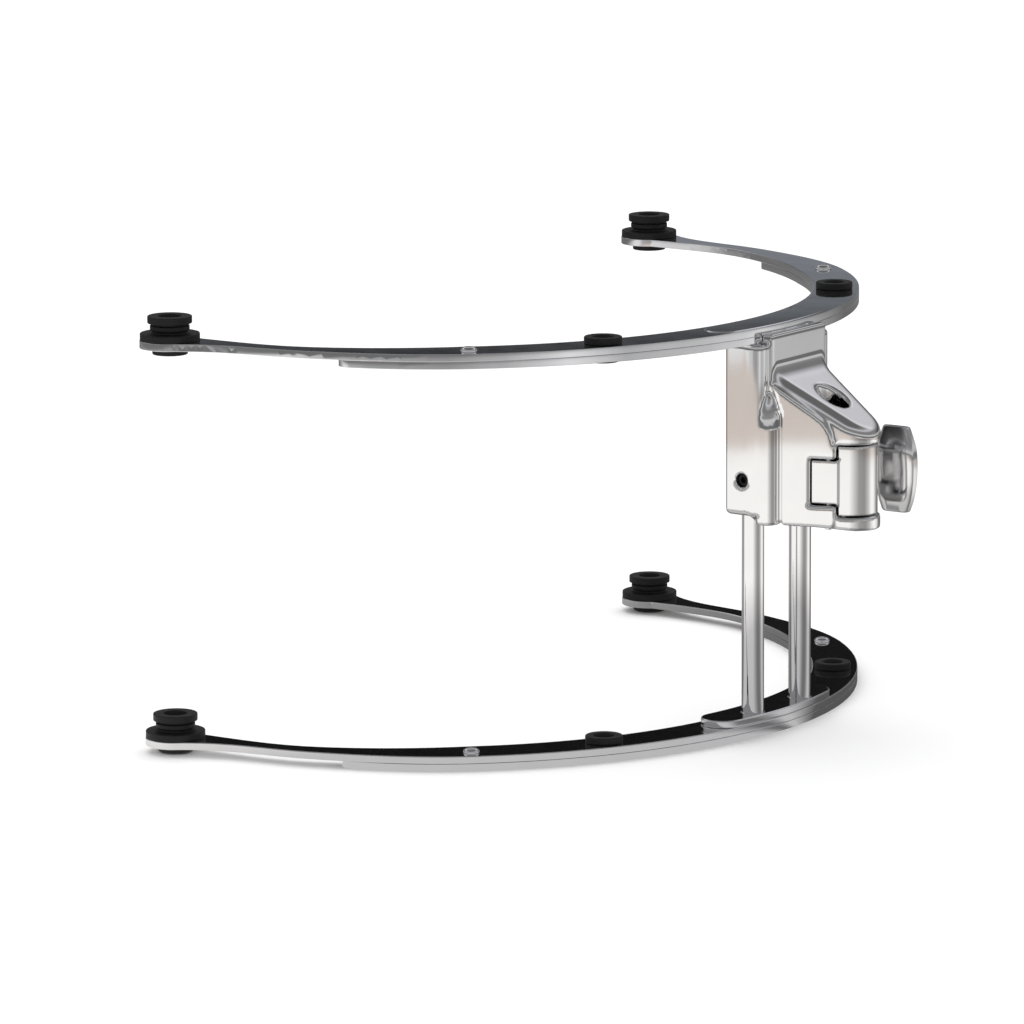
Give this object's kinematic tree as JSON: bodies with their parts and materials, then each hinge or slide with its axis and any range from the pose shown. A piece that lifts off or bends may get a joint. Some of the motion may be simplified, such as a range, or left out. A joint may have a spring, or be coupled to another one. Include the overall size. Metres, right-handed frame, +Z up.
{
  "type": "drum suspension mount",
  "caption": "Chromed drum suspension cradle: two C-shaped arcs with rubber grommets, joined by rods to a cast receiver bracket with a hinged gate and wing bolt.",
  "frame": {"origin": "on the surface it stands on, under the middle of its overall length and width", "axes": "+Z up along the drum axis; +X from the drum towards the receiver bracket; +Y along the arcs' span"},
  "size_m": [0.2327, 0.364, 0.1746],
  "materials": {
    "chrome_steel": "mirror chrome plate on steel",
    "chrome_casting": "mirror chrome plate on a polished zinc casting",
    "dark_steel": "black oxide",
    "black_rubber": "matt moulded rubber"
  },
  "bodies": {
    "upper_cradle": {"bracket_body": "chrome_casting", "upper_stiffener": "chrome_steel", "upper_band": "chrome_steel", "upper_cap_plate": "chrome_steel", "upper_layer_screws": "chrome_steel", "bracket_screws": "dark_steel", "hinge_pin": "chrome_steel", "clamp_nut": "chrome_steel", "upper_end_grommet_left": "black_rubber", "upper_end_grommet_right": "black_rubber", "upper_middle_grommet_left": "black_rubber", "upper_middle_grommet_right": "black_rubber"},
    "lower_cradle": {"lower_band": "chrome_steel", "lower_stiffener": "chrome_steel", "foot_plate": "chrome_steel", "rod_left": "chrome_steel", "rod_right": "chrome_steel", "rod_screws": "dark_steel", "lower_layer_screws": "chrome_steel", "lower_end_grommet_left": "black_rubber", "lower_end_grommet_right": "black_rubber", "lower_middle_grommet_left": "black_rubber", "lower_middle_grommet_right": "black_rubber"},
    "gate": {"receiver_gate": "chrome_casting"},
    "washer": {"thrust_washer": "chrome_steel"},
    "wing": {"wing_bolt": "chrome_casting"},
    "set_screw_left": {"set_screw_left": "dark_steel"},
    "set_screw_right": {"set_screw_right": "dark_steel"}
  },
  "joints": [
    {"name": "depth_slide", "type": "slide", "parent": "upper_cradle", "child": "lower_cradle", "axis": [0, 0, 1], "range_m": [-0.022, 0.024]},
    {"name": "washer_slide", "type": "slide", "parent": "upper_cradle", "child": "washer", "axis": [1, 0, 0], "range_m": [0, 0.004]},
    {"name": "wing_turn", "type": "hinge", "parent": "washer", "child": "wing", "pos_m": [0.09835, 0.029, 0.1046], "axis": [-1, 0, 0], "range_deg": [0, 1440]},
    {"name": "gate_swing", "type": "hinge", "parent": "upper_cradle", "child": "gate", "pos_m": [0.09995, -0.0102, 0.1046], "axis": [0, 0, -1], "range_deg": [0, 4.9]},
    {"name": "set_screw_left_turn", "type": "hinge", "parent": "upper_cradle", "child": "set_screw_left", "pos_m": [0.06945, -0.0235, 0.1043], "axis": [0, 1, 0], "range_deg": [0, 720]},
    {"name": "set_screw_right_turn", "type": "hinge", "parent": "upper_cradle", "child": "set_screw_right", "pos_m": [0.06945, 0.0235, 0.1043], "axis": [0, -1, 0], "range_deg": [0, 720]}
  ],
  "couplings": [
    {"joint": "washer_slide", "follows": "wing_turn", "m_per_rad": 0.00015915},
    {"joint": "gate_swing", "follows": "wing_turn", "ratio": 0.0034028}
  ]
}
